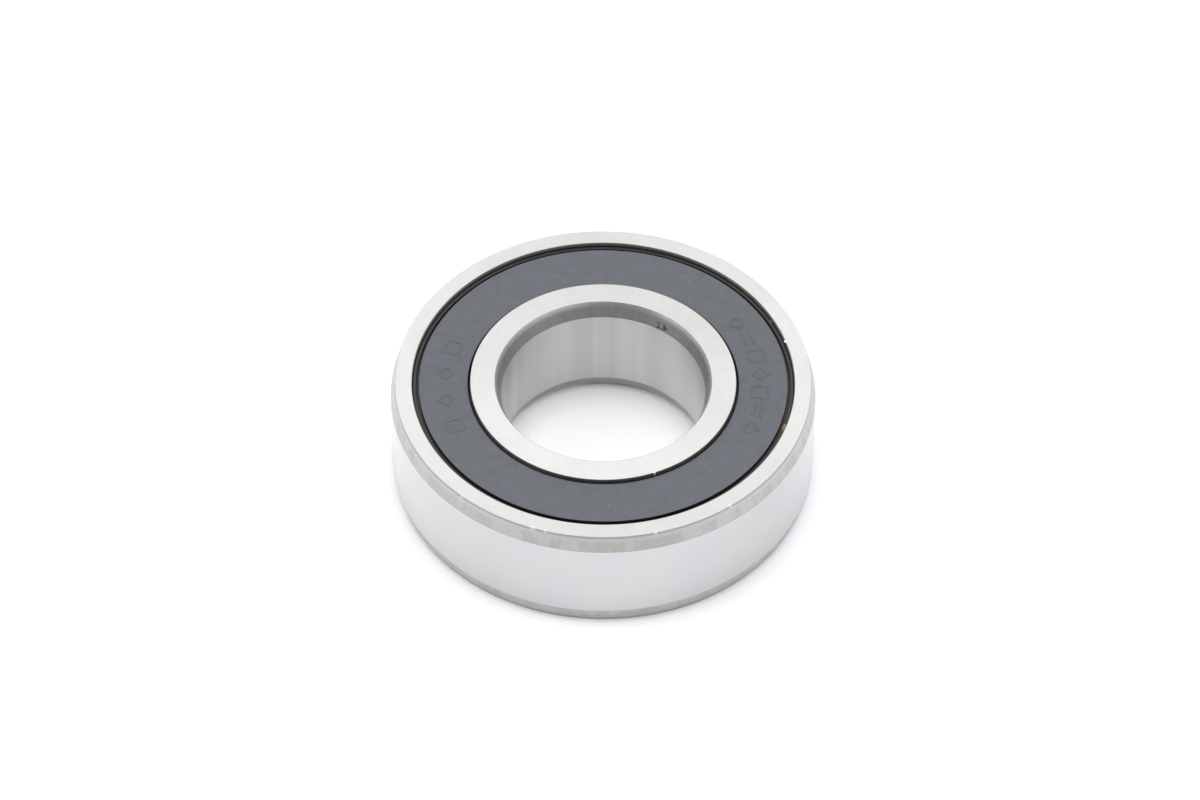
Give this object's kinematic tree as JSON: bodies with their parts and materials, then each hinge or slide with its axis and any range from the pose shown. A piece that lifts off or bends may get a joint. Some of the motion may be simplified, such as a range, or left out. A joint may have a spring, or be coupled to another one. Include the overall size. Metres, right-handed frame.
{
  "type": "ball bearing",
  "caption": "Sealed single-row deep groove ball bearing: two steel rings, caged balls between them and a dark rubber seal at each side.",
  "frame": {"origin": "centre of the bearing, on its axis and midway between its two side faces", "axes": "+Z is the axis of rotation, out of the side that faces up; +Y points at the centre of ball_1; +X completes the right-handed frame. The bearing lies flat on its lower side faces at z = -7.5 mm"},
  "size_m": [0.052, 0.052, 0.015],
  "materials": {
    "ring_steel": "hardened bearing steel, side faces finely ground in circles, outside and bore superfinished, chamfers turned and left dull",
    "ball_steel": "lapped mirror-bright bearing steel",
    "cage_steel": "cold-rolled sheet, pressed, satin",
    "rivet_steel": "plain steel with a formed head",
    "insert_steel": "stamped sheet, dull",
    "seal_rubber": "moulded nitrile rubber, dark blue-grey, satin with dust"
  },
  "bodies": {
    "outer": {"outer_ring": "ring_steel", "seal_upper": "seal_rubber", "seal_lower": "seal_rubber", "seal_insert_upper": "insert_steel", "seal_insert_lower": "insert_steel"},
    "inner": {"inner_ring": "ring_steel"},
    "cage": {"cage_upper": "cage_steel", "cage_lower": "cage_steel", "rivet_1": "rivet_steel", "rivet_2": "rivet_steel", "rivet_3": "rivet_steel", "rivet_4": "rivet_steel", "rivet_5": "rivet_steel", "rivet_6": "rivet_steel", "rivet_7": "rivet_steel", "rivet_8": "rivet_steel", "rivet_9": "rivet_steel"},
    "ball_1": {"ball_1": "ball_steel"},
    "ball_2": {"ball_2": "ball_steel"},
    "ball_3": {"ball_3": "ball_steel"},
    "ball_4": {"ball_4": "ball_steel"},
    "ball_5": {"ball_5": "ball_steel"},
    "ball_6": {"ball_6": "ball_steel"},
    "ball_7": {"ball_7": "ball_steel"},
    "ball_8": {"ball_8": "ball_steel"},
    "ball_9": {"ball_9": "ball_steel"}
  },
  "joints": [
    {"name": "inner_spin", "type": "hinge", "parent": "outer", "child": "inner", "pos_m": [0, 0, 0], "axis": [0, 0, 1], "continuous": true},
    {"name": "cage_orbit", "type": "hinge", "parent": "outer", "child": "cage", "pos_m": [0, 0, 0], "axis": [0, 0, 1], "continuous": true},
    {"name": "ball_1_spin", "type": "hinge", "parent": "cage", "child": "ball_1", "pos_m": [0, 0.01952, 0], "axis": [0, 0, 1], "continuous": true},
    {"name": "ball_2_spin", "type": "hinge", "parent": "cage", "child": "ball_2", "pos_m": [-0.01255, 0.01495, 0], "axis": [0, 0, 1], "continuous": true},
    {"name": "ball_3_spin", "type": "hinge", "parent": "cage", "child": "ball_3", "pos_m": [-0.01922, 0.00339, 0], "axis": [0, 0, 1], "continuous": true},
    {"name": "ball_4_spin", "type": "hinge", "parent": "cage", "child": "ball_4", "pos_m": [-0.0169, -0.00976, 0], "axis": [0, 0, 1], "continuous": true},
    {"name": "ball_5_spin", "type": "hinge", "parent": "cage", "child": "ball_5", "pos_m": [-0.00668, -0.01834, 0], "axis": [0, 0, 1], "continuous": true},
    {"name": "ball_6_spin", "type": "hinge", "parent": "cage", "child": "ball_6", "pos_m": [0.00668, -0.01834, 0], "axis": [0, 0, 1], "continuous": true},
    {"name": "ball_7_spin", "type": "hinge", "parent": "cage", "child": "ball_7", "pos_m": [0.0169, -0.00976, 0], "axis": [0, 0, 1], "continuous": true},
    {"name": "ball_8_spin", "type": "hinge", "parent": "cage", "child": "ball_8", "pos_m": [0.01922, 0.00339, 0], "axis": [0, 0, 1], "continuous": true},
    {"name": "ball_9_spin", "type": "hinge", "parent": "cage", "child": "ball_9", "pos_m": [0.01255, 0.01495, 0], "axis": [0, 0, 1], "continuous": true}
  ],
  "couplings": [
    {"joint": "cage_orbit", "follows": "inner_spin", "ratio": 0.39833},
    {"joint": "ball_1_spin", "follows": "inner_spin", "ratio": -2.3574},
    {"joint": "ball_2_spin", "follows": "inner_spin", "ratio": -2.3574},
    {"joint": "ball_3_spin", "follows": "inner_spin", "ratio": -2.3574},
    {"joint": "ball_4_spin", "follows": "inner_spin", "ratio": -2.3574},
    {"joint": "ball_5_spin", "follows": "inner_spin", "ratio": -2.3574},
    {"joint": "ball_6_spin", "follows": "inner_spin", "ratio": -2.3574},
    {"joint": "ball_7_spin", "follows": "inner_spin", "ratio": -2.3574},
    {"joint": "ball_8_spin", "follows": "inner_spin", "ratio": -2.3574},
    {"joint": "ball_9_spin", "follows": "inner_spin", "ratio": -2.3574}
  ]
}
